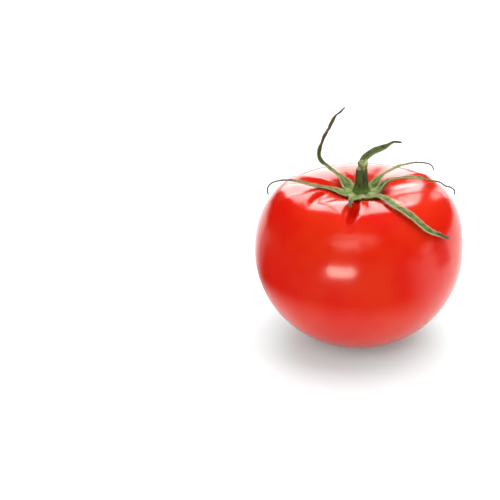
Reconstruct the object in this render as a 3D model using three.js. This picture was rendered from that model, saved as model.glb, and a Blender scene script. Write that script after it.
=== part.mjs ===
// A ripe tomato with its green crown: one fruit, the crown's disc, a stub of stalk and seven sepals.
//
// Units are millimetres and +Z is up. The origin is the middle of the flat spot that the fruit rests on,
// +Z runs up through the crown, and -Y is the front. Angles are in degrees, from +X towards +Y.

import * as THREE from 'three';

// ---- Driving dimensions: the fruit ----
const fruitRadius = 37.5;      // at its widest
const fruitHeight = 57.5;      // floor to the top of the shoulders
const equatorHeight = 32.6;    // floor to the widest ring
const footRadius = 8;          // the flat spot it rests on
const shoulderRadius = 22;     // ring where the shoulders are highest
const dimpleDepth = 4.2;       // shoulder tops down to the middle of the dimple
const crownOffset = 1;         // the crown sits a little to the +X side of the foot
const lowerRoundness = 1.88;   // 2 is an ellipse, more is squarer
const upperRoundness = 2.28;

// Pleats are creases that run out of the dimple and over the shoulders.
// azimuth is their direction, depth is how far they are pressed in, spread is half their angle,
// and reach is how far from the crown's middle they run, along the skin.
const pleats = [
  { azimuth: -98, depth: 2.2, spread: 9, reach: 33 },
  { azimuth: -139, depth: 1.5, spread: 9, reach: 31 },
  { azimuth: -38, depth: 1.1, spread: 10, reach: 28 },
  { azimuth: 18, depth: 1.3, spread: 10, reach: 29 },
  { azimuth: 62, depth: 1.6, spread: 10, reach: 31 },
  { azimuth: 112, depth: 1.2, spread: 11, reach: 29 },
  { azimuth: 162, depth: 1.4, spread: 10, reach: 30 },
];

// ---- Driving dimensions: the green crown ----
const gap = 0.3;               // clearance between neighbouring pieces
const discRadius = 5.5;
const discThickness = 2.1;     // in the middle
const discRimThickness = 1.1;

const stalkHeight = 12;
const stalkFootRadius = 2.9;   // flared where it meets the disc
const stalkRadius = 2.3;
const stalkNeckRadius = 1.75;  // the waist under the knuckle
const knuckleRadius = 2.05;    // the swollen end where the stalk broke off its truss
const knuckleHeight = 3.2;
const stalkRibs = 5;
const stalkRibDepth = 0.1;     // share of the radius
const stalkLean = 0.6;         // how far the top leans towards +X

const sepalWidth = 3.2;        // across the blade
const sepalTipWidth = 0.6;
const sepalThickness = 1;
const sepalTipThickness = 0.7;

// Each sepal's middle line is a few points: how far out from the disc's edge along the skin,
// how far off the skin, and in which direction from the crown's middle.
const sepals = {
  sepal_front: [
    [0, 1.6, -103], [5, 1.6, -103], [10, 1.4, -101.5], [14, 1.3, -100], [16, 1.2, -99],
  ],
  sepal_front_right: [
    [0, 1.8, -54], [5, 2.2, -54.5], [11.5, 1.7, -57.5], [19, 1.4, -59], [23, 1.3, -55],
    [27, 1.2, -51], [30, 1.2, -47], [32.3, 1.2, -41], [35.2, 1.2, -33.5],
  ],
  sepal_right: [
    [0, 2.2, -4], [3.8, 4.8, -2], [7.7, 4.7, 1], [11.5, 4.1, 3], [17, 2.4, 5],
    [20.5, 1.7, 6], [23.3, 1.7, 6], [25.8, 2.2, 6], [27.7, 2.1, 6], [28.4, 1.1, 6],
  ],
  sepal_back_right: [
    [0, 2.1, 44], [4.8, 4.1, 42], [9, 4, 41], [15.8, 3.5, 39], [19.7, 3.4, 38],
    [22.6, 3.9, 37], [24.4, 3.8, 36], [25.3, 2.6, 34],
  ],
  sepal_back: [
    [0, 2, 90], [2.4, 5.2, 89], [6, 8.6, 85], [8.4, 9.4, 76], [13.7, 9.5, 60],
    [15.8, 10.1, 56], [17.4, 9.7, 52],
  ],
  sepal_back_left: [
    [0, 2, 138], [3.2, 3.3, 136], [12, 3.5, 134], [15.7, 4.1, 133], [16.5, 6.3, 133],
    [15.6, 9.8, 133], [12.7, 19.8, 133], [11.1, 25.1, 133], [9.4, 29.2, 133],
  ],
  sepal_left: [
    [0, 1.7, 190], [5.5, 2.2, 187], [10, 1.7, 184], [17, 2.8, 181], [22, 3.9, 179],
    [24.5, 4, 178], [26.5, 3.1, 177], [27.6, 1.5, 177],
  ],
};

// ---- Steps of the faceted surfaces ----
const aroundFruit = 64;
const aroundDisc = 28;
const aroundStalk = 20;
const aroundSepal = 8;
const alongSepal = 26;
const flankSteps = 12;
const dimpleSteps = 8;

const radians = THREE.MathUtils.degToRad;
const smoothstep = THREE.MathUtils.smoothstep;
const lerp = THREE.MathUtils.lerp;

// ---- The fruit's skin, which the whole crown is placed on ----

// Height of the smooth skin inside the ring of shoulders.
function dimpleHeight(radius) {
  return fruitHeight - dimpleDepth * 0.5 * (1 + Math.cos(Math.PI * radius / shoulderRadius));
}

// Half of the fruit's upright section, from the middle of the foot up to the middle of the dimple.
function meridianPoints() {
  const points = [new THREE.Vector2(0, 0)];
  for (let i = 0; i < flankSteps; i += 1) {
    const angle = Math.PI / 2 * (1 - i / flankSteps);
    const out = Math.cos(angle) ** (2 / lowerRoundness);
    const down = Math.sin(angle) ** (2 / lowerRoundness);
    points.push(new THREE.Vector2(lerp(footRadius, fruitRadius, out), equatorHeight * (1 - down)));
  }
  for (let i = 0; i < flankSteps; i += 1) {
    const angle = Math.PI / 2 * i / flankSteps;
    const out = Math.cos(angle) ** (2 / upperRoundness);
    const up = Math.sin(angle) ** (2 / upperRoundness);
    points.push(new THREE.Vector2(
      lerp(shoulderRadius, fruitRadius, out), lerp(equatorHeight, fruitHeight, up)));
  }
  for (let i = 0; i <= dimpleSteps; i += 1) {
    const radius = shoulderRadius * (1 - i / dimpleSteps);
    points.push(new THREE.Vector2(radius, dimpleHeight(radius)));
  }
  return points;
}

// The same section as points that know how far they are from the crown's middle, along the skin.
function measuredMeridian() {
  const points = meridianPoints().reverse();
  let along = 0;
  return points.map((point, i) => {
    if (i > 0) along += point.distanceTo(points[i - 1]);
    const before = points[Math.max(i - 1, 0)];
    const after = points[Math.min(i + 1, points.length - 1)];
    const down = after.clone().sub(before).normalize();
    return { along, point, outward: new THREE.Vector2(-down.y, down.x) };
  });
}

const meridian = measuredMeridian();

// A point of the smooth skin, raised off it by lift, or pressed into it where lift is below 0.
function skinPoint(along, azimuth, lift) {
  let i = 1;
  while (i < meridian.length - 1 && meridian[i].along < along) i += 1;
  const [a, b] = [meridian[i - 1], meridian[i]];
  const share = THREE.MathUtils.clamp((along - a.along) / (b.along - a.along), 0, 1);
  const outward = a.outward.clone().lerp(b.outward, share).normalize();
  const place = a.point.clone().lerp(b.point, share).addScaledVector(outward, lift);
  const shift = crownOffset * smoothstep(place.y, equatorHeight, fruitHeight);
  return new THREE.Vector3(
    shift + place.x * Math.cos(radians(azimuth)), place.x * Math.sin(radians(azimuth)), place.y);
}

// How far the pleats press the skin in at one place.
function pleatDepth(along, azimuth) {
  let depth = 0;
  for (const pleat of pleats) {
    const turn = THREE.MathUtils.euclideanModulo(azimuth - pleat.azimuth + 180, 360) - 180;
    if (Math.abs(turn) < pleat.spread) {
      const across = Math.cos(Math.PI / 2 * turn / pleat.spread) ** 2;
      const fade = smoothstep(along, discRadius, shoulderRadius * 0.8)
        * (1 - smoothstep(along, shoulderRadius, pleat.reach));
      depth += pleat.depth * across * fade;
    }
  }
  return depth;
}

function standardMaterial(color, roughness) {
  return new THREE.MeshStandardMaterial({ color, roughness, metalness: 0 });
}

function namedMesh(name, geometry, material) {
  const mesh = new THREE.Mesh(geometry, material);
  mesh.name = name;
  return mesh;
}

// ---- Fruit: a turned body whose shoulders are pressed in along the pleats ----
function makeFruit() {
  const points = meridianPoints();
  const geometry = new THREE.LatheGeometry(points, aroundFruit);
  const position = geometry.attributes.position;
  for (let i = 0; i < position.count; i += 1) {
    const ring = i % points.length;
    const azimuth = Math.floor(i / points.length) % aroundFruit * 360 / aroundFruit;
    const along = meridian[meridian.length - 1 - ring].along;
    const place = ring === 0 ? new THREE.Vector3()
      : skinPoint(along, azimuth, -pleatDepth(along, azimuth));
    position.setXYZ(i, place.x, place.y, place.z);
  }
  return namedMesh('fruit', geometry, standardMaterial(0xd8260c, 0.22));
}

// ---- Crown disc: the small green plate that lies in the dimple and carries stalk and sepals ----
const discUnderside = (radius) => dimpleHeight(radius) + gap;
const stalkSeat = discUnderside(0) + discThickness;

function makeDisc() {
  const rim = discUnderside(discRadius);
  const points = [
    new THREE.Vector2(0, discUnderside(0)),
    new THREE.Vector2(discRadius / 2, discUnderside(discRadius / 2)),
    new THREE.Vector2(discRadius, rim),
    new THREE.Vector2(discRadius, rim + discRimThickness),
    new THREE.Vector2(stalkFootRadius * (1 + stalkRibDepth) + gap, stalkSeat),
    new THREE.Vector2(0, stalkSeat),
  ];
  const geometry = new THREE.LatheGeometry(points, aroundDisc).rotateX(Math.PI / 2);
  return namedMesh('crown_disc', geometry, standardMaterial(0x7d9a45, 0.6));
}

// ---- Stalk: a ribbed stub with a waist and a swollen end ----
function makeStalk() {
  const waist = stalkHeight - knuckleHeight;
  const points = [
    new THREE.Vector2(0, 0),
    new THREE.Vector2(stalkFootRadius, 0),
    new THREE.Vector2(lerp(stalkFootRadius, stalkRadius, 0.6), waist * 0.12),
    new THREE.Vector2(stalkRadius, waist * 0.3),
    new THREE.Vector2(stalkRadius, waist * 0.92),
    new THREE.Vector2(stalkNeckRadius, waist),
    new THREE.Vector2(knuckleRadius, waist + knuckleHeight * 0.3),
    new THREE.Vector2(knuckleRadius * 0.95, waist + knuckleHeight * 0.65),
    new THREE.Vector2(knuckleRadius * 0.6, stalkHeight),
    new THREE.Vector2(0, stalkHeight),
  ];
  const geometry = new THREE.LatheGeometry(points, aroundStalk).rotateX(Math.PI / 2);
  const position = geometry.attributes.position;
  for (let i = 0; i < position.count; i += 1) {
    const [x, y, z] = [position.getX(i), position.getY(i), position.getZ(i)];
    const rib = 1 + stalkRibDepth * Math.cos(stalkRibs * Math.atan2(y, x));
    position.setXYZ(i, x * rib + stalkLean * z / stalkHeight, y * rib, z);
  }
  const stalk = namedMesh('stalk', geometry, standardMaterial(0x4a5e1c, 0.55));
  stalk.position.set(crownOffset, 0, stalkSeat + gap);
  return stalk;
}

// ---- Sepals: narrow blades that follow their middle lines out over the shoulders ----
const rootAlong = discRadius + gap + sepalThickness / 2;

// The roots share the disc's edge, so they are as wide as the closest two leave room for.
function widestRoot() {
  const roots = Object.values(sepals).map((route) => THREE.MathUtils.euclideanModulo(route[0][2], 360));
  roots.sort((a, b) => a - b);
  const turns = roots.map((root, i) => THREE.MathUtils.euclideanModulo(root - roots.at(i - 1), 360));
  return 2 * rootAlong * Math.sin(radians(Math.min(...turns) / 2)) - gap;
}
const rootWidth = widestRoot();

// Half sizes of the blade's section, at a share of its length from root to tip.
function bladeHalfSizes(share) {
  const full = lerp(rootWidth, sepalWidth, smoothstep(share, 0, 0.2));
  const taper = Math.cos(Math.PI / 2 * share ** 1.6);
  return [
    lerp(sepalTipWidth, full, taper) / 2,
    lerp(sepalTipThickness, sepalThickness, taper) / 2,
  ];
}

function makeSepal(name, route) {
  const line = new THREE.CatmullRomCurve3(
    route.map(([out, lift, azimuth]) => skinPoint(rootAlong + out, azimuth, lift)));
  const geometry = new THREE.CylinderGeometry(1, 1, 1, aroundSepal, alongSepal);
  const position = geometry.attributes.position;
  for (let i = 0; i < position.count; i += 1) {
    const share = position.getY(i) + 0.5;
    const middle = line.getPointAt(share);
    const ahead = line.getTangentAt(share);
    // Across the blade is level, and square to the way out from the crown.
    const across = new THREE.Vector3(-middle.y, middle.x - crownOffset, 0).normalize();
    across.addScaledVector(ahead, -across.dot(ahead)).normalize();
    const through = across.clone().cross(ahead);
    const [halfWidth, halfThickness] = bladeHalfSizes(share);
    middle.addScaledVector(across, position.getX(i) * halfWidth);
    middle.addScaledVector(through, position.getZ(i) * halfThickness);
    position.setXYZ(i, middle.x, middle.y, middle.z);
  }
  return namedMesh(name, geometry, standardMaterial(0x8a9c55, 0.6));
}

// ---- The whole tomato ----
const tomato = new THREE.Group();
tomato.add(makeFruit());
const disc = makeDisc();
disc.position.x = crownOffset;
tomato.add(disc);
tomato.add(makeStalk());
for (const [name, route] of Object.entries(sepals)) {
  tomato.add(makeSepal(name, route));
}

export default tomato;
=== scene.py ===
# %% [markdown]
# # A ripe tomato with its green crown
# The design of this tomato is already settled: its size, where it rests, and where every sepal
# lies. This lesson gives it its looks. The fruit becomes smooth, pleated and glossy, and the crown
# becomes thin, folded, hairy leaf. Blender's lengths are metres, so `mm` turns millimetres into
# them. +Z is up, and the front is -Y.

# %% Load the frame
import math
import random

import bmesh
import bpy
from mathutils import Matrix, Vector


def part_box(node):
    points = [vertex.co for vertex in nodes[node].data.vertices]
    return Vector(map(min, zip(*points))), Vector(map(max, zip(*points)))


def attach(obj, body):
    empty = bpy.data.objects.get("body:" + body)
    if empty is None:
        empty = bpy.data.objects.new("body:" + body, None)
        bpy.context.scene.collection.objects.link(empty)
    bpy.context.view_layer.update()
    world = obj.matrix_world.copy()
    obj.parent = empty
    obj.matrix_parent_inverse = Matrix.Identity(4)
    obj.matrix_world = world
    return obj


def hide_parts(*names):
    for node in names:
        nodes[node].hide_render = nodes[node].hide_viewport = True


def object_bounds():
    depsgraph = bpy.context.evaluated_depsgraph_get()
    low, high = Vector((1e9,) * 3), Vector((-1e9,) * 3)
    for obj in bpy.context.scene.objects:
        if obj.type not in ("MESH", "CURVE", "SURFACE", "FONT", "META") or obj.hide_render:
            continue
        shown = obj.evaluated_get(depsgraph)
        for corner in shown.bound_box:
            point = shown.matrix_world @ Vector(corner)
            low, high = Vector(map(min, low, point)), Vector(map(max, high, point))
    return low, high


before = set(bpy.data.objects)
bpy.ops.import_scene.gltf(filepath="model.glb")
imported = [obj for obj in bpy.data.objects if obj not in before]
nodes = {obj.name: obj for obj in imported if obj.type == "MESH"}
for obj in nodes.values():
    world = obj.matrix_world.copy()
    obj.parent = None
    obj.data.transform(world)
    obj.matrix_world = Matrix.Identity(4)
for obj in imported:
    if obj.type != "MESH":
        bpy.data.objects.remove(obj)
cad_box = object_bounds()
mm = 0.001

fruit_low, fruit_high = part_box("fruit")
disc_low, disc_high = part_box("crown_disc")
fruit_radius = (fruit_high.x - fruit_low.x) / 2
fruit_height = fruit_high.z
crown = Vector(((disc_low.x + disc_high.x) / 2, 0, disc_high.z))
print("fruit", round(fruit_radius * 2 / mm, 1), "mm wide,", round(fruit_height / mm, 1), "mm high")

# %% [markdown]
# ## Camera
# The tomato is seen from a little above, so that the crown shows as a star. A long lens from half a
# metre away keeps the shape true. The camera aims past the tomato's left side, which puts the tomato
# right of the middle of the picture.

# %% Camera
camera_elevation = math.radians(25)
camera_distance = 0.554
aim_height = 31 * mm
aim_left = 0.0708         # shares of the camera's distance
aim_above = 0.0030

forward = Vector((0, math.cos(camera_elevation), -math.sin(camera_elevation)))
above = Vector((0, math.sin(camera_elevation), math.cos(camera_elevation)))
target = Vector((0, 0, aim_height))
camera_data = bpy.data.cameras.new("camera")
camera_data.lens = 110
camera_data.sensor_width = 36
camera = bpy.data.objects.new("camera", camera_data)
bpy.context.scene.collection.objects.link(camera)
camera.location = target - forward * camera_distance
sight = (forward - Vector((aim_left, 0, 0)) + above * aim_above).normalized()
sideways = sight.cross(above).normalized()
camera.rotation_euler = Matrix((sideways, sideways.cross(sight), -sight)).transposed().to_euler()
bpy.context.scene.camera = camera
print("camera at", [round(x, 3) for x in camera.location])

# %% [markdown]
# ## Light
# The picture is high key: a white floor, pale surroundings, and a bright wall of light behind the
# tomato that glances off its shoulders. Each lamp is a flat panel, given by the direction it is seen
# in from the tomato, so its reflection can be put where it is wanted. Glossy things show the lamps'
# shapes, so the two lamps that only brighten the floor and the front are kept out of reflections.

# %% Light panels
bpy.context.scene.view_settings.view_transform = "Standard"

world = bpy.data.worlds.new("studio")
world.use_nodes = True
world.node_tree.nodes["Background"].inputs["Color"].default_value = (1, 1, 1, 1)
world.node_tree.nodes["Background"].inputs["Strength"].default_value = 0.59
world.cycles_visibility.glossy = False      # it lights the skin but isn't mirrored in it
bpy.context.scene.world = world

lamps_aim = Vector((0, 0, fruit_height * 0.75))


def way_to(azimuth, elevation):
    """The direction that lies this far round from +X and this far above the floor, in degrees."""
    a, e = math.radians(azimuth), math.radians(elevation)
    return Vector((math.cos(a) * math.cos(e), math.sin(a) * math.cos(e), math.sin(e)))


def light_panel(name, azimuth, elevation, distance, width, height, brightness,
                reflected=True, lights=True):
    """A rectangular lamp that faces the tomato; brightness 1 looks as white as lit paper."""
    lamp_data = bpy.data.lights.new(name, "AREA")
    lamp_data.shape = "RECTANGLE"
    lamp_data.size = width
    lamp_data.size_y = height
    lamp_data.energy = brightness * math.pi * width * height
    lamp = bpy.data.objects.new(name, lamp_data)
    bpy.context.scene.collection.objects.link(lamp)
    way = way_to(azimuth, elevation)
    lamp.location = lamps_aim + way * distance
    lamp.rotation_euler = way.to_track_quat("Z", "Y").to_euler()
    lamp.visible_camera = False
    lamp.visible_glossy = reflected
    lamp.visible_diffuse = lights


light_panel("back_wall", 98, 22, 0.60, 0.31, 0.39, 4.6)
light_panel("back_side", 66, 14, 0.60, 0.12, 0.30, 2.4)
light_panel("low_window", -108, -5, 0.17, 0.080, 0.028, 14, lights=False)
light_panel("floor_wash", 10, 78, 0.90, 1.40, 1.40, 1.85, reflected=False)
light_panel("front_fill", -104, 25, 0.90, 1.00, 0.60, 1.15, reflected=False)

# %% Floor
bpy.ops.mesh.primitive_plane_add(size=8)
floor = bpy.context.object
floor.name = "floor"
print("floor", [round(x, 1) for x in floor.dimensions], "m")

# %% [markdown]
# ## Working by hand, in code
# The pieces are shaped with the same tools as in Blender's window. Those tools act on whatever is
# selected, so three small helpers keep the selection tidy: `only` selects one piece, `edit` opens it
# with nothing selected, and `pick` selects the points that pass a test.

# %% Helpers for modelling
def only(piece):
    """Leaves just this piece selected, and active."""
    bpy.ops.object.select_all(action="DESELECT")
    piece.select_set(True)
    bpy.context.view_layer.objects.active = piece


def edit(piece):
    """Opens a piece in edit mode with nothing selected."""
    only(piece)
    bpy.ops.object.mode_set(mode="EDIT")
    bpy.ops.mesh.select_mode(type="VERT")
    bpy.ops.mesh.select_all(action="DESELECT")


def close_edit():
    bpy.ops.object.mode_set(mode="OBJECT")


def pick(piece, wanted):
    """Selects the points that pass the test, and says how many there are."""
    bpy.ops.mesh.select_all(action="DESELECT")
    mesh = bmesh.from_edit_mesh(piece.data)
    found = [point for point in mesh.verts if wanted(point)]
    for point in found:
        point.select_set(True)
    mesh.select_flush_mode()
    bmesh.update_edit_mesh(piece.data)
    return len(found)


def push(way, reach):
    """Moves what is selected and carries its neighbours along, less and less out to the reach."""
    bpy.ops.transform.translate(value=way, use_proportional_edit=True,
                                proportional_edit_falloff="SMOOTH", proportional_size=reach)


def apply_modifier(piece, kind, **settings):
    """Adds a modifier with these settings and applies it at once."""
    only(piece)
    modifier = piece.modifiers.new(kind.lower(), kind)
    for name, value in settings.items():
        setattr(modifier, name, value)
    bpy.ops.object.modifier_apply(modifier=modifier.name)


def smooth_finer(piece, levels):
    """Splits every face in four, smoothly, that many times."""
    apply_modifier(piece, "SUBSURF", levels=levels, render_levels=levels)


def faces_out(piece):
    """Merges doubled points and turns every face outwards."""
    edit(piece)
    bpy.ops.mesh.select_all(action="SELECT")
    bpy.ops.mesh.remove_doubles(threshold=0.01 * mm)
    bpy.ops.mesh.normals_make_consistent(inside=False)
    close_edit()


def mark_points(piece, label, measure):
    """Stores a number at every point, for the finish to read."""
    layer = piece.data.attributes.new(label, "FLOAT", "POINT")
    layer.data.foreach_set("value", [measure(v.co) for v in piece.data.vertices])


def shade_smooth(piece):
    """Lets every face take the light as part of one smooth surface."""
    piece.data.polygons.foreach_set("use_smooth", [True] * len(piece.data.polygons))


def count(piece):
    """Says what a piece is made of."""
    print(piece.name, len(piece.data.vertices), "points", len(piece.data.polygons), "faces")


# %% [markdown]
# ## A map of the skin
# The crown lies on the fruit, so its places are given in the skin's own terms: how far from the
# middle of the crown, measured along the skin, in which direction, and how far off the skin. The
# fruit's section is two rounded flanks and a shallow dimple, so a few sizes and a formula give it.

# %% The fruit's section
equator_height = 32.6 * mm
foot_radius = 8 * mm
shoulder_radius = 22 * mm
dimple_depth = 4.2 * mm
lower_roundness = 1.88
upper_roundness = 2.28
section_steps = 60


def mix(a, b, share):
    return a + (b - a) * share


def ease(value, low, high):
    """0 below low, 1 above high, and a soft slope between."""
    share = min(max((value - low) / (high - low), 0), 1)
    return share * share * (3 - 2 * share)


def rounded(angle, roundness):
    """How far out and how far up a rounded corner is: roundness 2 is a circle, and more is squarer."""
    return math.cos(angle) ** (2 / roundness), math.sin(angle) ** (2 / roundness)


def section():
    """Points of the upright section, from the middle of the dimple down to the foot's edge."""
    points = []
    for i in range(section_steps):
        radius = shoulder_radius * i / section_steps
        bell = 0.5 * (1 + math.cos(math.pi * radius / shoulder_radius))
        points.append((radius, fruit_height - dimple_depth * bell))
    for i in range(section_steps):
        angle = math.pi / 2 * (1 - i / section_steps)
        out, up = rounded(angle, upper_roundness)
        height = mix(equator_height, fruit_height, up)
        points.append((mix(shoulder_radius, fruit_radius, out), height))
    for i in range(section_steps + 1):
        angle = math.pi / 2 * i / section_steps
        out, down = rounded(angle, lower_roundness)
        points.append((mix(foot_radius, fruit_radius, out), equator_height * (1 - down)))
    return [Vector(point) for point in points]


outline = section()
outline_along = [0]
for before, after in zip(outline, outline[1:]):
    outline_along.append(outline_along[-1] + (after - before).length)


def skin_point(along, azimuth, lift):
    """The place at this distance along the skin and this direction, lifted off the skin."""
    i = 1
    while i < len(outline) - 2 and outline_along[i] < along:
        i += 1
    step = outline[i] - outline[i - 1]
    share = (along - outline_along[i - 1]) / (outline_along[i] - outline_along[i - 1])
    outward = Vector((-step.y, step.x)).normalized()
    place = outline[i - 1] + step * share + outward * lift
    shift = crown.x * ease(place.y, equator_height, fruit_height)
    turn = math.radians(azimuth)
    return Vector((shift + place.x * math.cos(turn), place.x * math.sin(turn), place.y))


print("skin from crown to foot", round(outline_along[-1] / mm, 1), "mm")

# %% [markdown]
# ## The fruit
# A tomato is one smooth body. Its true size and its broad pleats are in the frame already, so a copy
# of that body is the blank: its loose triangles are merged, paired into four-sided faces, and split
# finer with a smooth surface. What the blank lacks is worked in by hand, with soft falloffs: slight
# swellings between the sepals, evener shoulders, and the creases where the shoulders are gathered
# under the crown. The deepest crease faces the front, and another one curls in from the left.

# %% Fruit: the blank
skin = bpy.data.objects.new("tomato_skin", nodes["fruit"].data.copy())
bpy.context.scene.collection.objects.link(skin)
edit(skin)
bpy.ops.mesh.customdata_custom_splitnormals_clear()
bpy.ops.mesh.select_all(action="SELECT")
bpy.ops.mesh.remove_doubles(threshold=0.01 * mm)
bpy.ops.mesh.tris_convert_to_quads()
close_edit()
smooth_finer(skin, 2)
count(skin)

# %% Fruit: where it swells and creases
# In these lists, directions are in degrees from +X and lengths are in mm.
# Each swelling: direction, distance from the crown, height, and how far it spreads.
swellings = [(-148, 26, 0.7, 8), (-118, 13, 1.25, 8), (-76, 13, 1.25, 8), (-10, 13, 1.1, 8),
             (40, 13, 1.2, 8), (87, 13, 1.2, 8), (137, 13, 1.2, 8), (190, 13, 1.2, 8)]
# Each smoothed part: from this direction to that one, and how often it is smoothed.
smoothed = [(-160, -108, 90), (-89, -62, 40), (-62, 34, 120), (34, 150, 110)]
# The smoothing fades out down the flank: above each height, this share of the smoothing.
smoothing_steps = [(50, 0.6), (46, 0.2), (42, 0.12), (38, 0.08)]
left_shoulder = (-176, -104)
left_smoothing = 8        # how often that shoulder is smoothed once more after it is creased
# Each crease: direction at its start and at its end, start and end along the skin, depth and reach.
creases = [(-98, -98, 6, 32, 2.0, 1.9), (-164, -134, 12, 27, 0.9, 1.2), (112, 112, 6, 18, 0.6, 2),
           (162, 162, 6, 20, 0.8, 2)]
deepens_over, fades_over = 4, 7     # mm along a crease, at its start and at its end
crease_push = 0.45        # each push's share of the depth, because neighbouring pushes add up
swelling_top = 1.5 * mm   # how much of a swelling is moved whole
crease_bed = 0.45 * mm    # and how much of a crease
crown_edge = 9 * mm


def out_of(place):
    """How far a place is from the middle of the crown, seen from above."""
    return Vector((place.x - crown.x, place.y)).length


def turn_of(place):
    """The direction of a place, in degrees, seen from the middle of the crown."""
    return math.degrees(math.atan2(place.y, place.x - crown.x))


def turn_from(azimuth, place):
    """How far round from this direction a place lies, from -180 to 180 degrees."""
    return (turn_of(place) - azimuth + 180) % 360 - 180


print(len(swellings), "swellings and", len(creases), "creases")


# %% Fruit: worked by hand
def smooth_shoulder(first_way, last_way, lowest, times):
    """Evens out the skin between two directions, from this height up to the crown's edge."""
    pick(skin, lambda v: v.co.z > lowest * mm and out_of(v.co) > crown_edge
         and first_way < turn_of(v.co) < last_way)
    bpy.ops.mesh.vertices_smooth(factor=0.5, repeat=times)


edit(skin)
for azimuth, along, height, spread in swellings:
    top = skin_point(along * mm, azimuth, 0)
    pick(skin, lambda v: (v.co - top).length < swelling_top)
    push(skin_point(along * mm, azimuth, height * mm) - top, spread * mm)
for first_way, last_way, times in smoothed:
    for lowest, share in smoothing_steps:
        smooth_shoulder(first_way, last_way, lowest, round(times * share))
for first_way, last_way, start, end, depth, wide in creases:
    for i in range(start, end + 1):
        azimuth = mix(first_way, last_way, (i - start) / (end - start))
        fade = min(1, (end - i) / fades_over + 0.1, (i - start) / deepens_over + 0.2)
        level = skin_point(i * mm, azimuth, 0)
        pick(skin, lambda v: (v.co - level).xy.length < crease_bed and v.co.z > equator_height)
        push(skin_point(i * mm, azimuth, -depth * mm * fade * crease_push) - level, wide * mm)
smooth_shoulder(*left_shoulder, smoothing_steps[0][0], left_smoothing)
close_edit()
count(skin)

# %% Fruit: mark its creases and the painted shade under the crown
crown_shade = (8.5 * mm, 13.5 * mm)


def crease_and_crown_shade(place):
    """Painted shade: 1 in the two deepest creases and right under the crown, falling softly to 0
    around them.
    """
    if place.z < equator_height:
        return 0
    out = out_of(place)
    share = 1 - ease(out, *crown_shade)
    for first_way, last_way, start, end, depth, wide in creases[:2]:
        gone = min(max((out / mm - start) / (end - start), 0), 1)
        aside = abs(math.radians(turn_from(mix(first_way, last_way, gone), place))) * out
        inside = ease(out, start * mm, (start + 3) * mm) * (1 - ease(out, (end - 6) * mm, end * mm))
        share = max(share, inside * (1 - ease(aside, wide * 0.5 * mm, wide * 1.4 * mm)))
    return share


# The crease mark also carries the painted shade right under the crown.
mark_points(skin, "crease", crease_and_crown_shade)
in_crease = [mark.value > 0.5 for mark in skin.data.attributes["crease"].data]
print(sum(in_crease), "of", len(in_crease), "points lie in a crease or under the crown")

# %% [markdown]
# ## Finishes as sums
# A finish is a small machine of nodes. To keep the maths readable, a socket is wrapped in a class
# that understands + - * / and **, so `1 - mask * 0.4` adds its Math nodes by itself. Every other
# node comes from one method, which sets the node's choices first and then its sockets.

# %% Helpers for finishes
class Wire:
    """One output of a node, ready for sums."""

    def __init__(self, finish, socket):
        self.finish = finish
        self.socket = socket

    def _sum(self, operation, left, right):
        return self.finish.node("ShaderNodeMath", {"operation": operation}, {0: left, 1: right})

    def __add__(self, other):
        return self._sum("ADD", self, other)

    def __sub__(self, other):
        return self._sum("SUBTRACT", self, other)

    def __rsub__(self, other):
        return self._sum("SUBTRACT", other, self)

    def __mul__(self, other):
        return self._sum("MULTIPLY", self, other)

    def __truediv__(self, other):
        return self._sum("DIVIDE", self, other)

    def __pow__(self, other):
        return self._sum("POWER", self, other)

    __radd__ = __add__
    __rmul__ = __mul__


class Finish:
    """A material whose Principled shader is set by name."""

    def __init__(self, name, **sockets):
        self.material = bpy.data.materials.new(name)
        self.material.use_nodes = True
        self.tree = self.material.node_tree
        self.shader = self.tree.nodes["Principled BSDF"]
        for key, value in sockets.items():
            self.set(key, value)

    def plug(self, socket, value):
        if isinstance(value, Wire):
            self.tree.links.new(value.socket, socket)
        else:
            socket.default_value = value

    def set(self, key, value):
        self.plug(self.shader.inputs[key.replace("_", " ")], value)

    def node(self, kind, settings=None, sockets=None, output=0):
        """Adds any node: its choices first, then the values or wires of its sockets."""
        made = self.tree.nodes.new(kind)
        for key, value in (settings or {}).items():
            if key == "stops":
                ramp = made.color_ramp.elements
                while len(ramp) < len(value):
                    ramp.new(0.5)
                for element, (place, color) in zip(ramp, value):
                    element.position = place
                    element.color = color
            else:
                setattr(made, key, value)
        for key, value in (sockets or {}).items():
            self.plug(made.inputs[key], value)
        return Wire(self, made.outputs[output])

    def place(self):
        """Where a point is on the object, in metres."""
        return self.node("ShaderNodeTexCoord", output="Object")

    def axis(self, letter):
        """How far a point is along the object's X, Y or Z, in metres."""
        return self.node("ShaderNodeSeparateXYZ", {}, {0: self.place()}, letter)

    def out(self, middle_x=0.0):
        """How far a point is from the upright line through this X, in metres."""
        return ((self.axis("X") - middle_x) ** 2 + self.axis("Y") ** 2) ** 0.5

    def stored(self, label):
        """The number that each point of the piece carries under this label."""
        return self.node("ShaderNodeAttribute", {"attribute_name": label}, {}, "Fac")

    def noise(self, size, detail=2.0, stretch=(1, 1, 1)):
        """Soft random values from 0 to 1, with patches of about this size in metres."""
        spot = self.node("ShaderNodeMapping", {}, {"Vector": self.place(), "Scale": stretch})
        return self.node("ShaderNodeTexNoise", {},
                         {"Vector": spot, "Scale": 1 / size, "Detail": detail}, "Fac")

    def slope(self, value, low, high):
        """0 below low, 1 above high, and a soft slope between."""
        return self.node("ShaderNodeMapRange", {"interpolation_type": "SMOOTHSTEP"},
                         {"Value": value, "From Min": low, "From Max": high})

    def blend(self, share, first, second):
        """From the first colour to the second as share goes from 0 to 1."""
        return self.node("ShaderNodeMix", {"data_type": "RGBA"}, {0: share, 6: first, 7: second}, 2)

    def bump(self, height, distance):
        """Fine relief that is too small to model."""
        return self.node("ShaderNodeBump", {},
                         {"Height": height, "Distance": distance, "Strength": 0.6}, "Normal")


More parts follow.
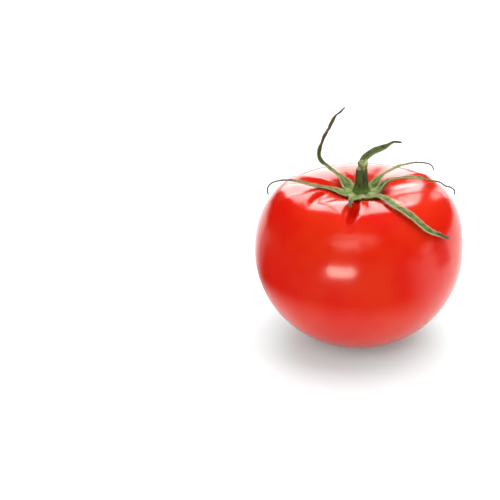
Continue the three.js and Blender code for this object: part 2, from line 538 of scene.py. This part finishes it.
def wear(piece, finish):
    """Gives a piece this finish and no other."""
    piece.data.materials.clear()
    piece.data.materials.append(finish.material)
    print(piece.name, "wears", finish.material.name + ", made of", len(finish.tree.nodes), "nodes")


# %% [markdown]
# ## Ripe skin
# Tomato skin is a thin clear film over red flesh. Light goes a few millimetres into the flesh and
# comes out again, so subsurface scattering gives the glow, and the film gives the gloss. The red
# isn't even: it drifts between red and orange, pales a little round the crown, and has fine specks.
# Down in the creases the skin sees only itself, so the gloss gives way to a plain deep red there.
# That deep red, there and right under the crown, is painted shade.

# %% Skin finish
ripe_red = (0.71, 0.0065, 0.001, 1)
ripe_orange = (0.74, 0.023, 0.003, 1)
crown_gold = (0.80, 0.22, 0.03, 1)
# Painted shade: the deep red of the creases and of the skin right under the crown.
painted_crease_shade = (0.50, 0.004, 0.001, 1)
scar_brown = (0.28, 0.12, 0.04, 1)

ripe = Finish("ripe_skin", IOR=1.42)
ripe.set("Subsurface Weight", 0.25)
ripe.set("Subsurface Radius", (1.0, 0.12, 0.05))
ripe.set("Subsurface Scale", 3 * mm)
ripe.set("Coat Roughness", 0.10)
ripe.set("Specular Tint", (1.0, 0.94, 0.80, 1))
ripe.set("Coat Tint", (1.0, 0.96, 0.88, 1))

drift = ripe.slope(ripe.noise(24 * mm, 3.0), 0.35, 0.68)
flesh = ripe.blend(drift, ripe_red, ripe_orange)
skin_height = ripe.axis("Z")
from_middle = ripe.out(crown.x)
high_up = ripe.slope(skin_height, 45 * mm, 52 * mm)
near_crown = (1 - ripe.slope(from_middle, 7 * mm, 16 * mm)) * high_up
streaks = ripe.noise(5 * mm, 2.0)
flesh = ripe.blend(near_crown * (0.03 + streaks * 0.15), flesh, crown_gold)
cell_size = 0.9 * mm
cells = ripe.node("ShaderNodeTexVoronoi", {}, {"Vector": ripe.place(), "Scale": 1 / cell_size},
                  "Distance")
specks = (1 - ripe.slope(cells, 0.05, 0.2)) * 0.05
flesh = ripe.blend(specks, flesh, crown_gold)
under = 1 - ripe.slope(skin_height, 1 * mm, 3 * mm)
scar = (1 - ripe.slope(from_middle + ripe.noise(1.2 * mm) * mm, 1.6 * mm, 2.4 * mm)) * under
flesh = ripe.blend(scar, flesh, scar_brown)
crease = ripe.stored("crease")
# Painted shade: the creases and the skin right under the crown are darkened to deep red.
flesh = ripe.blend(crease * 0.75, flesh, painted_crease_shade)
ripe.set("Base Color", flesh)
ripe.set("Roughness", 0.2 + crease * 0.3)
ripe.set("Coat Weight", (1 - crease) * 0.12)
relief = ripe.noise(14 * mm, 2.0) + ripe.noise(1.1 * mm, 2.0) * 0.02
ripe.set("Normal", ripe.bump(relief, 0.35 * mm))

# %% Skin finish: matt in the creases and under the crown, where the shade is painted
deep = ripe.node("ShaderNodeBsdfPrincipled", {}, {"Base Color": flesh, "Roughness": 0.9,
                                                  "Specular IOR Level": 0.0})
glossy = Wire(ripe, ripe.shader.outputs["BSDF"])
both = ripe.node("ShaderNodeMixShader", {}, {0: crease * 0.92, 1: glossy, 2: deep})
ripe.plug(ripe.tree.nodes["Material Output"].inputs["Surface"], both)
wear(skin, ripe)
shade_smooth(skin)
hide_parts("fruit")
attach(skin, "root")

# %% [markdown]
# ## The crown's sepals
# Seven narrow green sepals grow from one star. Each starts as a flat strip, as if cut from a leaf:
# it flares at the root, narrows to a curled tip, is folded along its midrib and ruffled at its
# margins. Then it is bent along its own line over the fruit with a Curve modifier. A strip that is
# shaped flat and bent afterwards stays an honest leaf, because bending hardly stretches it.

# %% Where the sepals lie
# Per sepal: its direction at the root, its greatest half width in mm, between which shares of its
# length it narrows to the tip, how much it spreads into the star in mm, and its line, as steps of
# distance beyond the star along the skin, lift off the skin, and direction.
star_edge = 6.3
sepal_lines = {
    "front": (-113, 0.8, (0.30, 1.00), -0.8,
              [(0, 1.6, -113), (5, 1.6, -108), (10, 1.4, -104), (14, 1.3, -101), (16, 1.2, -99)]),
    "front_right": (-54, 1.35, (0.66, 1.05), 0.7,
                    [(0, 1.8, -54), (5, 2.2, -54.5), (11.5, 1.7, -57.5), (19, 1.4, -59),
                     (23, 1.3, -55), (27, 1.2, -51), (30, 1.2, -47), (32.3, 1.2, -41),
                     (35.2, 1.2, -33.5)]),
    "right": (-4, 0.85, (0.40, 0.75), 0.8,
              [(0, 2.2, -4), (3.8, 4.8, -2), (7.7, 4.7, 1), (11.5, 4.1, 3), (17, 2.4, 5),
               (20.5, 1.7, 6), (23.3, 1.7, 6), (25.8, 2.2, 6), (27.7, 2.1, 6), (28.4, 1.1, 6)]),
    "back_right": (44, 0.8, (0.40, 0.75), 0.4,
                   [(0, 2.1, 44), (4.8, 4.1, 42), (9, 4, 41), (15.8, 3.5, 39), (19.7, 3.4, 38),
                    (22.6, 3.9, 37), (24.4, 3.8, 36), (25.3, 2.6, 34)]),
    "back": (90, 1.35, (0.62, 0.86), -0.9,
             [(0, 2.1, 90), (2.4, 5.2, 89), (6, 8.6, 85), (8.4, 9.4, 76), (13.7, 9.5, 60),
              (15.8, 10.1, 56), (17.4, 9.7, 52)]),
    "back_left": (138, 0.86, (0.80, 1.04), 0.5,
                  [(0, 2.1, 138), (3.2, 3.3, 136), (12, 3.5, 134), (15.7, 4.1, 133),
                   (16.5, 6.3, 133), (15.6, 9.8, 133), (12.7, 19.8, 133), (11.1, 25.1, 133),
                   (9.4, 29.2, 133)]),
    "left": (190, 0.95, (0.45, 0.75), 0.7,
             [(0, 1.7, 190), (5.5, 2.2, 187), (10, 1.7, 184), (17, 2.8, 181), (22, 3.9, 179),
              (24.5, 4, 178), (26.5, 3.1, 177), (27.6, 1.5, 177)]),
}
# Sepals are painted darker towards their ends: how much, and between which shares of the length.
# On the front sepal, which lies in shadow, this is painted shade.
darkening = {"front": (0.85, 0.2, 0.6), "front_right": (0.0, 0.5, 0.9),
             "right": (0.95, 0.45, 0.75), "back_right": (0.95, 0.45, 0.75),
             "back": (0.6, 0.00, 0.25), "back_left": (0.65, 0.10, 0.40),
             "left": (0.95, 0.40, 0.70)}
print(len(sepal_lines), "sepals:", ", ".join(sepal_lines))

# %% How wide a sepal is
root_half_width = 2.55 * mm
flare = 7 * mm            # how far out the root's extra width reaches
collar_place, collar_reach = 2.2 * mm, 2.2 * mm
tip_share = 0.36          # the end's width as a share of the greatest
tip_narrowing = 0.35      # how much narrower still the last bit gets


def half_width(x, length, widest, taper, collar):
    """Half the width of a sepal at this distance from its root."""
    share = x / length
    narrowed = 1 - tip_narrowing * ease(share, 0.85, 1.05)
    body = widest * mix(1, tip_share, ease(share, *taper)) * narrowed
    root = (root_half_width - widest) * max(0, 1 - x / flare) ** 1.5
    return body + root + collar * math.exp(-((x - collar_place) / collar_reach) ** 2)


# %% A flat sepal
row_spacing = 1.0 * mm
across_steps = 6
fold_share = 0.6          # the fold's depth as a share of the sepal's half width
# The fold is made in steps: points this near the midrib, as a share of the half width, are sunk by
# this share of the fold's depth.
fold_steps = [(0.9, 0.35), (0.5, 0.35), (0.1, 0.45)]
# In mm: how high the ruffles are, and how far apart.
ruffle_height = (-0.3, 0.4)
ruffle_spacing = (2.0, 4.0)
ruffle_length, ruffle_width = 0.8 * mm, 0.2 * mm    # half of what each ruffle moves whole
ruffle_reach = 1.6 * mm
unruffled = 3 * mm        # at either end
chance = random.Random(7)


def flat_sepal(name, length, shape):
    """A strip in the X-Y plane: folded, ruffled, and marked with where each point is on it."""
    rows = round(length / row_spacing)
    bpy.ops.mesh.primitive_grid_add(x_subdivisions=rows, y_subdivisions=across_steps, size=1)
    strip = bpy.context.object
    strip.name = "blade_" + name
    edit(strip)
    bpy.ops.mesh.select_all(action="SELECT")
    bpy.ops.transform.translate(value=(0.5, 0, 0))
    close_edit()
    mark_points(strip, "along", lambda place: place.x)
    mark_points(strip, "across", lambda place: abs(place.y) * 2)
    amount, first, last = darkening[name]
    # How much darker the sepal is painted towards its end; on the front sepal it is painted shade.
    mark_points(strip, "dark", lambda place: amount * ease(place.x, first, last))
    edit(strip)
    bpy.ops.mesh.select_all(action="SELECT")
    bpy.ops.transform.resize(value=(length, 2 * mm, 1), center_override=(0, 0, 0))
    row_reach = length / rows / 4
    for i in range(rows + 1):
        x = length * i / rows
        wide = half_width(x, length, *shape)
        pick(strip, lambda v: abs(v.co.x - x) < row_reach)
        bpy.ops.transform.resize(value=(1, wide / mm, 1), center_override=(x, 0, 0))
        for near, depth in fold_steps:
            pick(strip, lambda v: abs(v.co.x - x) < row_reach and abs(v.co.y) < wide * near)
            bpy.ops.transform.translate(value=(0, 0, -wide * fold_share * depth))
    for side in (-1, 1):
        x = unruffled
        while x < length - unruffled:
            margin = half_width(x, length, *shape) * side
            pick(strip, lambda v: abs(v.co.x - x) < ruffle_length
                 and abs(v.co.y - margin) < ruffle_width)
            push((0, 0, chance.uniform(*ruffle_height) * mm), ruffle_reach)
            x += chance.uniform(*ruffle_spacing) * mm
    close_edit()
    return strip


# %% Sepals bent along their lines
curve_allowance = 1.01    # a curve is about this much longer than the straight lines along it


def line_places(steps):
    """The places that a sepal's line passes through."""
    return [skin_point((star_edge + out) * mm, azimuth, lift * mm) for out, lift, azimuth in steps]


def line_length(steps):
    """About how long a sepal's line is."""
    places = line_places(steps)
    return sum((b - a).length for a, b in zip(places, places[1:])) * curve_allowance


def bend(strip, steps):
    """Lays a flat sepal along its line over the fruit."""
    path_data = bpy.data.curves.new("line", "CURVE")
    path_data.dimensions = "3D"
    path_data.twist_mode = "MINIMUM"
    path_data.resolution_u = 16
    spline = path_data.splines.new("BEZIER")
    spline.bezier_points.add(len(steps) - 1)
    for point, place in zip(spline.bezier_points, line_places(steps)):
        point.co = place
        point.handle_left_type = point.handle_right_type = "AUTO"
    path = bpy.data.objects.new("line", path_data)
    bpy.context.scene.collection.objects.link(path)
    bpy.context.view_layer.update()
    apply_modifier(strip, "CURVE", object=path, deform_axis="POS_X")
    bpy.data.objects.remove(path)


sepals = []
for name, (root_way, widest, taper, collar, steps) in sepal_lines.items():
    strip = flat_sepal(name, line_length(steps), (widest * mm, taper, collar * mm))
    bend(strip, steps)
    count(strip)
    sepals.append(strip)

# %% [markdown]
# ## The star in the middle
# The sepals grow from a fleshy plate that is a shallow cup round the stalk's foot. It starts as a
# ring of points. Of every eight points, seven belong to a sepal's root and one to the hollow between
# two sepals. The ring is closed inwards, then each root is bridged to its own sepal, so that the
# crown becomes one leafy surface. Solidify gives it thickness, fleshy inside and thin at the tips.

# %% Crown: the ring
ring_radius = 5.5 * mm
ring_half_width = 2.2 * mm
root_drop = 0.30 * mm     # how far the ring lies below the ends of the sepals' lines
hollow_rise = 0.15 * mm   # how far the hollows lie above those ends
hollow_reach = 1.14       # how much farther out they lie
root_spread = math.degrees(math.asin(ring_half_width / ring_radius))
root_ways = [shape[0] for shape in sepal_lines.values()]
points_per_sepal = across_steps + 2

bpy.ops.object.select_all(action="DESELECT")
bpy.ops.mesh.primitive_circle_add(vertices=points_per_sepal * len(root_ways), radius=ring_radius,
                                  location=(crown.x, 0, 0))
crown_leaf = bpy.context.object
crown_leaf.name = "crown_leaf"
bpy.ops.object.transform_apply(location=True)
roots = [skin_point(star_edge * mm, way, steps[0][1] * mm)
         for way, *widths, steps in sepal_lines.values()]
marks_across = []
for i, point in enumerate(crown_leaf.data.vertices):
    k, step = divmod(i, points_per_sepal)
    after = (k + 1) % len(root_ways)
    if step <= across_steps:
        share = step / across_steps * 2 - 1
        way = root_ways[k] + root_spread * share
        reach = ring_radius
        height = roots[k].z - root_drop - (1 - abs(share)) * fold_share * root_half_width
        marks_across.append(abs(share))
    else:
        gap = (root_ways[after] - root_ways[k]) % 360
        way = root_ways[k] + gap / 2
        reach = ring_radius * hollow_reach
        height = (roots[k].z + roots[after].z) / 2 + hollow_rise
        marks_across.append(1)
    turn = math.radians(way)
    point.co = Vector((crown.x + reach * math.cos(turn), reach * math.sin(turn), height))
mark = crown_leaf.data.attributes.new("across", "FLOAT", "POINT")
mark.data.foreach_set("value", marks_across)
mark_points(crown_leaf, "along", lambda place: -1)
mark_points(crown_leaf, "dark", lambda place: 0)
count(crown_leaf)

# %% Crown: close the ring inwards
# Each ring inwards: how wide it is as a share of the one before, and how much higher in mm.
cup_rings = [(0.84, -0.25), (0.80, -0.10), (0.72, 0.05), (0.60, 0.1)]
edit(crown_leaf)
bpy.ops.mesh.select_all(action="SELECT")
for narrower, higher in cup_rings:
    bpy.ops.mesh.extrude_edges_move()
    bpy.ops.transform.resize(value=(narrower, narrower, 0.6), center_override=(crown.x, 0, crown.z))
    bpy.ops.transform.translate(value=(0, 0, higher * mm))
bpy.ops.mesh.edge_face_add()
close_edit()
count(crown_leaf)

# %% Crown: join and bridge the sepals
row_window = 27           # degrees either side of a sepal's way that hold its first row
ring_window = 24.3        # and the ring's points that face it


def at_root(v, way, along_mark):
    """True for the points of a sepal's first row, and for those of the ring that face it."""
    turned = abs(turn_from(way, v.co))
    on_ring = v[along_mark] == -1 and out_of(v.co) > ring_radius * 0.98
    return turned <= row_window and (v[along_mark] == 0 or on_ring and turned < ring_window)


for strip, way in zip(sepals, root_ways):
    only(crown_leaf)
    strip.select_set(True)
    bpy.ops.object.join()
    edit(crown_leaf)
    along_mark = bmesh.from_edit_mesh(crown_leaf.data).verts.layers.float["along"]
    found = pick(crown_leaf, lambda v: at_root(v, way, along_mark))
    bpy.ops.mesh.bridge_edge_loops()
    close_edit()
    print("bridged the sepal at", way, "degrees over", found, "points")
count(crown_leaf)
faces_out(crown_leaf)

# %% Crown: thickness
fleshy, thin = 1.0 * mm, 0.42 * mm
thins_from, thins_to = 4 * mm, 9 * mm
flesh_group = crown_leaf.vertex_groups.new(name="flesh")
for point in crown_leaf.data.vertices:
    flesh_group.add([point.index], 1 - ease(out_of(point.co), thins_from, thins_to), "REPLACE")
apply_modifier(crown_leaf, "SOLIDIFY", thickness=fleshy, offset=0, vertex_group="flesh",
               thickness_vertex_group=thin / fleshy)
smooth_finer(crown_leaf, 2)
shade_smooth(crown_leaf)
count(crown_leaf)

# %% [markdown]
# ## The stalk
# The fruit hung from a ribbed stalk that snapped at its knuckle. It is a ring of points drawn up
# through a list of heights and widths. Every fourth point is drawn out into a rib and the one
# halfway to the next rib is drawn in. The knuckle above the narrow place is left knobbly and paler,
# as torn plant tissue is.

# %% Stalk: drawn up
stalk_foot = 55.9 * mm
stalk_points = 20
# Height above the foot and radius of each ring, in mm.
stalk_rings = [(0, 3.7), (0.5, 3.25), (1.2, 2.8), (2.4, 2.48), (4.2, 2.3), (6.0, 2.2), (7.8, 2.12),
               (8.5, 2.0), (8.75, 1.55), (9.2, 1.55), (10.0, 1.75), (10.8, 1.7), (11.3, 1.45),
               (11.4, 1.0), (10.7, 0.6)]
stalk_lean, stalk_height = 0.2, 12  # it leans this far sideways over this height, in mm

bpy.ops.object.select_all(action="DESELECT")
bpy.ops.mesh.primitive_circle_add(vertices=stalk_points, radius=1 * mm, fill_type="NGON",
                                  location=(crown.x, 0, stalk_foot))
stem = bpy.context.object
stem.name = "stem"
bpy.ops.object.transform_apply(location=True)
edit(stem)
bpy.ops.mesh.select_all(action="SELECT")
wide, high = 1, 0
for height, radius in stalk_rings:
    if (height, radius) != stalk_rings[0]:
        bpy.ops.mesh.extrude_region_move()
    axis_x = crown.x + stalk_lean * mm * height / stalk_height
    bpy.ops.transform.resize(value=(radius / wide, radius / wide, 1),
                             center_override=(axis_x, 0, stalk_foot))
    rise = height - high
    bpy.ops.transform.translate(value=(stalk_lean * mm * rise / stalk_height, 0, rise * mm))
    wide, high = radius, height
close_edit()
count(stem)

# %% Stalk: ribs
points_per_rib = 4
# Each place within a rib that is moved, and how much wider the shaft gets there.
ribs = [(0, 1.09), (2, 0.9)]
shaft_low, shaft_high = 0.3 * mm, 8.6 * mm


def on_shaft(v, place_in_rib):
    """True on the shaft for the points that have this place within their rib."""
    turn = math.atan2(v.co.y, v.co.x - crown.x) / (2 * math.pi) * stalk_points
    same_place = round(turn) % points_per_rib == place_in_rib
    return same_place and shaft_low < v.co.z - stalk_foot < shaft_high


edit(stem)
for place_in_rib, wider in ribs:
    found = pick(stem, lambda v: on_shaft(v, place_in_rib))
    bpy.ops.transform.resize(value=(wider, wider, 1), center_override=(crown.x, 0, 0))
    print(found, "points made", wider, "times as wide")

# %% Stalk: knuckle
knuckle_aside = 0.45 * mm
lumps = 16
lump_core, lump_reach = 0.6 * mm, 1.0 * mm
# In mm: the knuckle's radius, between which heights its lumps lie, and how far each one is moved.
knuckle_radius = 1.7
knuckle_heights = (9.0, 11.4)
lump_height = (-0.32, 0.32)
pick(stem, lambda v: v.co.z - stalk_foot > shaft_high)
bpy.ops.transform.translate(value=(knuckle_aside, 0, 0))
for i in range(lumps):
    turn = chance.uniform(0, 2 * math.pi)
    outward = Vector((math.cos(turn), math.sin(turn), chance.uniform(-1, 1)))
    lump_z = stalk_foot + chance.uniform(*knuckle_heights) * mm
    lump = Vector((crown.x + knuckle_aside, 0, lump_z))
    lump += Vector((math.cos(turn), math.sin(turn), 0)) * knuckle_radius * mm
    pick(stem, lambda v: (v.co - lump).length < lump_core)
    push(outward * chance.uniform(*lump_height) * mm, lump_reach)
close_edit()
faces_out(stem)
smooth_finer(stem, 3)
shade_smooth(stem)
count(stem)

# %% [markdown]
# ## Leaf and stalk finishes
# A sepal is matt, paler and hairier towards its margins, with a dark sunken midrib and fine veins
# that run along it. Each point of the crown carries three numbers: how far along its sepal it is,
# how far from the midrib, and how much darker it is painted towards the end. Colours and relief
# follow those round every bend.

# %% Leaf finish: greens
deep_green = (0.058, 0.100, 0.016, 1)
fresh_green = (0.23, 0.33, 0.070, 1)
vein_green = (0.46, 0.50, 0.21, 1)
plate_green = (0.30, 0.42, 0.09, 1)
margin_green = (0.50, 0.54, 0.28, 1)
midrib_green = (0.040, 0.065, 0.012, 1)
darker_end_green = (0.058, 0.082, 0.032, 1)
dry_tip = (0.040, 0.042, 0.030, 1)

# %% Leaf finish
leaf = Finish("crown_green", Roughness=0.55)
leaf.set("Specular IOR Level", 0.3)
along = leaf.stored("along")
across = leaf.stored("across")
leaf_map = leaf.node("ShaderNodeCombineXYZ", {}, {"X": along * 8, "Y": across * 5})
veins = leaf.node("ShaderNodeTexNoise", {}, {"Vector": leaf_map, "Scale": 2.2, "Detail": 3.0}, "Fac")
mottle = leaf.noise(2.2 * mm, 3.0)
grain = leaf.noise(0.35 * mm, 2.0)
leaf_green = leaf.blend(leaf.slope(mottle, 0.35, 0.65), deep_green, fresh_green)
leaf_green = leaf.blend(leaf.slope(veins, 0.48, 0.60) * 0.75, leaf_green, vein_green)
plate = 1 - leaf.slope(along, -0.3, 0.12)
leaf_green = leaf.blend(plate * 0.55, leaf_green, plate_green)
margin = leaf.slope(across, 0.62, 0.95)
leaf_green = leaf.blend(margin * 0.7, leaf_green, margin_green)
midrib = (1 - leaf.slope(across, 0.02, 0.17)) * leaf.slope(along, 0.0, 0.12)
leaf_green = leaf.blend(midrib * 0.75, leaf_green, midrib_green)
# Darker towards each sepal's end; on the front sepal this is painted shade.
leaf_green = leaf.blend(leaf.stored("dark"), leaf_green, darker_end_green)
tip = leaf.slope(along + mottle * 0.1, 0.85, 0.98)
leaf_green = leaf.blend(tip * 0.8, leaf_green, dry_tip)
leaf.set("Base Color", leaf_green)
leaf.set("Normal", leaf.bump(veins + grain * 0.5, 0.35 * mm))
wear(crown_leaf, leaf)
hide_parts("crown_disc", *["sepal_" + name for name in sepal_lines])
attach(crown_leaf, "root")

# %% Stalk finish
furrow_green = (0.022, 0.040, 0.006, 1)
rib_green = (0.090, 0.130, 0.022, 1)
foot_green = (0.12, 0.24, 0.03, 1)
knuckle_green = (0.12, 0.17, 0.04, 1)
torn_green = (0.42, 0.45, 0.19, 1)

bark = Finish("stalk_green", Roughness=0.5)
bark.set("Specular IOR Level", 0.3)
stem_high = bark.axis("Z")
fibres = bark.noise(0.8 * mm, 3.0, stretch=(1, 1, 0.15))
patches = bark.noise(1.6 * mm, 2.0)
stem_green = bark.blend(bark.slope(fibres, 0.3, 0.7), furrow_green, rib_green)
foot = 1 - bark.slope(stem_high, stalk_foot, stalk_foot + 3.0 * mm)
stem_green = bark.blend(foot * 0.7, stem_green, foot_green)
torn = bark.slope(stem_high + (patches - 0.5) * mm, stalk_foot + 8.3 * mm, stalk_foot + 9.0 * mm)
pale = bark.blend(bark.slope(patches, 0.35, 0.6), knuckle_green, torn_green)
stem_green = bark.blend(torn, stem_green, pale)
bark.set("Base Color", stem_green)
bark.set("Normal", bark.bump(fibres + patches * 0.4, 0.3 * mm))
wear(stem, bark)
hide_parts("stalk")
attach(stem, "root")

# %% [markdown]
# ## Hairs
# A tomato's crown is downy. Each hair is a thin cone with three sides and no base worth seeing,
# rooted at a random place and leaning off the surface. They stand thickest on the sepals' margins
# and on the stalk, where they catch the light as a pale fringe.

# %% How hairs grow
# In mm: the shortest and longest hair, the thinnest and thickest, and how deep each one is set.
hair_length = (0.35, 0.95)
hair_radius = (0.025, 0.042)
hair_root = 0.1
hair_lean = 0.45          # how far hairs lean at random, beside a step of 1 off the surface


def grow_hairs(name, grounds, finish):
    """One piece of many hairs. Each ground: a piece, how many hairs, and a weight for each face."""
    points, faces = [], []
    for ground, number, weight in grounds:
        polygons = ground.data.polygons
        weights = [weight(ground, face) * face.area for face in polygons]
        for face in chance.choices(polygons, weights, k=number):
            corners = [ground.data.vertices[i].co for i in face.vertices]
            shares = [chance.random() for _ in corners]
            root = sum((c * w for c, w in zip(corners, shares)), Vector()) / sum(shares)
            lean = Vector([chance.gauss(0, hair_lean) for _ in range(3)])
            way = (face.normal + lean).normalized()
            length = chance.uniform(*hair_length) * mm
            side = way.orthogonal().normalized() * chance.uniform(*hair_radius) * mm
            other = way.cross(side)
            first = len(points)
            root -= way * hair_root * mm
            # The foot's three corners are a third of a turn apart: 0.5 and 0.87 are that turn's
            # cosine and sine.
            points += [root + side, root - side * 0.5 + other * 0.87,
                       root - side * 0.5 - other * 0.87, root + way * length]
            faces += [(first, first + 1, first + 3), (first + 1, first + 2, first + 3),
                      (first + 2, first, first + 3), (first + 2, first + 1, first)]
    mesh = bpy.data.meshes.new(name)
    mesh.from_pydata(points, [], faces)
    hairs = bpy.data.objects.new(name, mesh)
    bpy.context.scene.collection.objects.link(hairs)
    faces_out(hairs)
    wear(hairs, finish)
    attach(hairs, "root")
    count(hairs)


# %% Hairs
hair_green = (0.45, 0.47, 0.28, 1)
hair_silver = (0.70, 0.68, 0.52, 1)
crown_hairs, stalk_hairs = 3200, 500


def margin_weight(ground, face):
    """Few hairs on the blade and many on its margins."""
    values = ground.data.attributes["across"].data
    from_midrib = sum(values[i].value for i in face.vertices) / len(face.vertices)
    return 0.15 + 6 * ease(from_midrib, 0.75, 1.0)


def even_weight(ground, face):
    return 1


down = Finish("down", Roughness=0.5)
down.set("Base Color", down.blend(down.slope(down.noise(3 * mm), 0.4, 0.6), hair_green, hair_silver))
down.set("Transmission Weight", 0.2)
grow_hairs("crown_down", [(crown_leaf, crown_hairs, margin_weight),
                          (stem, stalk_hairs, even_weight)], down)

# %% [markdown]
# ## What the skin mirrors
# Glossy skin is a mirror of the room, so the room has to be right too. Two cloth softboxes,
# brighter in the middle, give glows without hard edges. A dark cloth on the floor to the front and
# left, and a narrow strip of it to the right, keep the red deep there. Only reflections show it, so
# the floor itself stays white.

# %% Softboxes
cloth_peak = 1.25         # the strength is raised by this, so that the colour stays below white


def softbox(name, azimuth, elevation, distance, width, height, brightness):
    """A lamp of glowing cloth, brightest in its middle, turned towards the tomato."""
    bpy.ops.mesh.primitive_plane_add(size=2)
    box = bpy.context.object
    box.name = name
    way = way_to(azimuth, elevation)
    box.location = lamps_aim + way * distance
    box.rotation_euler = (-way).to_track_quat("Z", "Y").to_euler()
    box.scale = (width / 2, height / 2, 1)
    box.visible_camera = False
    cloth = Finish(name + "_cloth")
    cloth.set("Base Color", (0, 0, 0, 1))
    cloth.set("Emission Strength", brightness * cloth_peak)
    uneven = cloth.slope(cloth.noise(0.55, 1.0), 0.35, 0.65) * 0.8 + 0.45
    glow = (1 - cloth.slope(cloth.out(), 0.15, 1.0)) * uneven / cloth_peak
    cloth.set("Emission Color", cloth.blend(glow, (0, 0, 0, 1), (1, 1, 1, 1)))
    wear(box, cloth)


softbox("key_softbox", -103, 42, 0.70, 0.92, 0.84, 2.8)
softbox("side_softbox", -14, 3, 0.50, 0.24, 0.20, 2.0)

# %% Dark cloth
bpy.ops.mesh.primitive_plane_add(size=4, location=(0, 0, 0.5 * mm))
dark_cloth = bpy.context.object
dark_cloth.name = "dark_cloth"
dark_cloth.visible_camera = dark_cloth.visible_diffuse = dark_cloth.visible_shadow = False
black = Finish("black_cloth", Roughness=1.0)
black.set("Base Color", (0.004, 0.004, 0.004, 1))
black.set("Specular IOR Level", 0.0)
floor_x = black.axis("X")
floor_y = black.axis("Y")
floor_out = black.out()


def wedge(azimuth, half_width, edge, near, far):
    """A share of the floor: a wedge this wide in degrees, from this far out, with soft edges."""
    a = math.radians(azimuth)
    facing = (floor_x * math.cos(a) + floor_y * math.sin(a)) / floor_out
    sector = black.slope(facing, math.cos(math.radians(half_width + edge)),
                         math.cos(math.radians(half_width - edge)))
    return sector * black.slope(floor_out, near, far)


covered = wedge(-123, 90, 19, 0.034, 0.074) + wedge(3, 9, 5, 0.10, 0.13) * 0.8
black.set("Alpha", covered)
wear(dark_cloth, black)

# %% [markdown]
# ## The floor's paper
# The tomato stands on white paper over a light table. The paper glows a little itself, so the
# shadow stays soft and pale. The ripe skin throws red light on the paper round it, and the paper is
# a touch cooler there, which keeps the shadow grey.

# %% Floor finish
paper = Finish("white_paper", Roughness=0.9)
tint_reach = 110 * mm
# Each tint: its distance from the fruit's middle, as a share of the reach, and its colour.
tints = [(0.00, (0.42, 0.96, 0.96, 1)), (0.11, (0.46, 0.95, 0.95, 1)),
         (0.22, (0.61, 0.93, 0.93, 1)), (0.37, (0.78, 0.90, 0.90, 1)),
         (0.65, (0.85, 0.885, 0.885, 1)), (1.00, (0.88, 0.88, 0.88, 1))]
from_fruit = paper.out() / tint_reach
paper.set("Base Color", paper.node("ShaderNodeValToRGB", {"stops": tints}, {0: from_fruit}))
paper.set("Specular IOR Level", 0.1)
paper.set("Emission Color", (1, 1, 1, 1))
paper.set("Emission Strength", 0.18)
wear(floor, paper)

# %% [markdown]
# ## Measure
# Looks may not change the tomato's size, so the box round what is seen is written down beside the
# box of the design that it started from.

# %% Measure
low, high = cad_box
